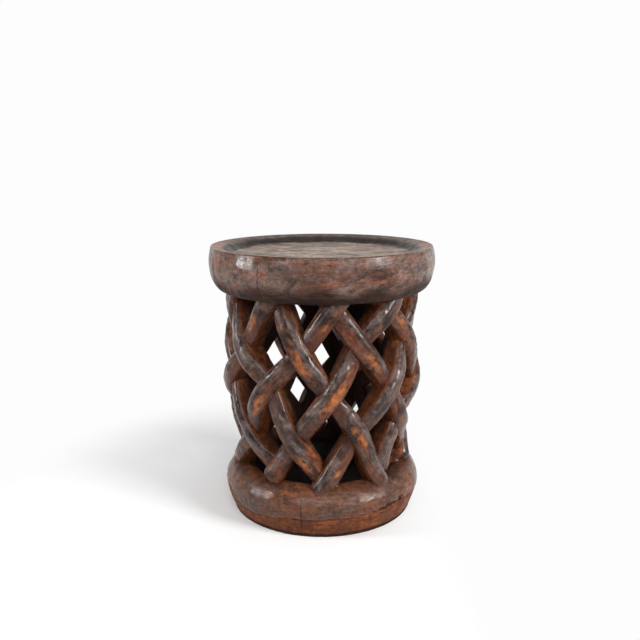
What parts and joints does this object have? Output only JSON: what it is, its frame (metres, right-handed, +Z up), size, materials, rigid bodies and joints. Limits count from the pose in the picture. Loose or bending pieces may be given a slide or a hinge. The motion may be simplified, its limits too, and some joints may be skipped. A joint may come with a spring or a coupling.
{
  "type": "carved wooden stool",
  "caption": "Round carved wooden stool: a shallow dished seat on an openwork drum of strands woven over and under each other, on a thick swollen base.",
  "frame": {"origin": "on the floor under the middle of the stool, in the plane of the base's flat underside", "axes": "+Z up through the middle of the seat, -Y towards the front seen in the picture, +X to the right"},
  "size_m": [0.3352, 0.3352, 0.4],
  "materials": {
    "seat_wood": "satin",
    "base_wood": "satin",
    "right_strand_wood": "satin",
    "left_strand_wood": "satin"
  },
  "bodies": {
    "root": {"seat": "seat_wood", "base": "base_wood", "right_leaning_strand_1": "right_strand_wood", "right_leaning_strand_2": "right_strand_wood", "right_leaning_strand_3": "right_strand_wood", "right_leaning_strand_4": "right_strand_wood", "right_leaning_strand_5": "right_strand_wood", "right_leaning_strand_6": "right_strand_wood", "right_leaning_strand_7": "right_strand_wood", "right_leaning_strand_8": "right_strand_wood", "right_leaning_strand_9": "right_strand_wood", "left_leaning_strand_1": "left_strand_wood", "left_leaning_strand_2": "left_strand_wood", "left_leaning_strand_3": "left_strand_wood", "left_leaning_strand_4": "left_strand_wood", "left_leaning_strand_5": "left_strand_wood", "left_leaning_strand_6": "left_strand_wood", "left_leaning_strand_7": "left_strand_wood", "left_leaning_strand_8": "left_strand_wood", "left_leaning_strand_9": "left_strand_wood"}
  },
  "joints": []
}
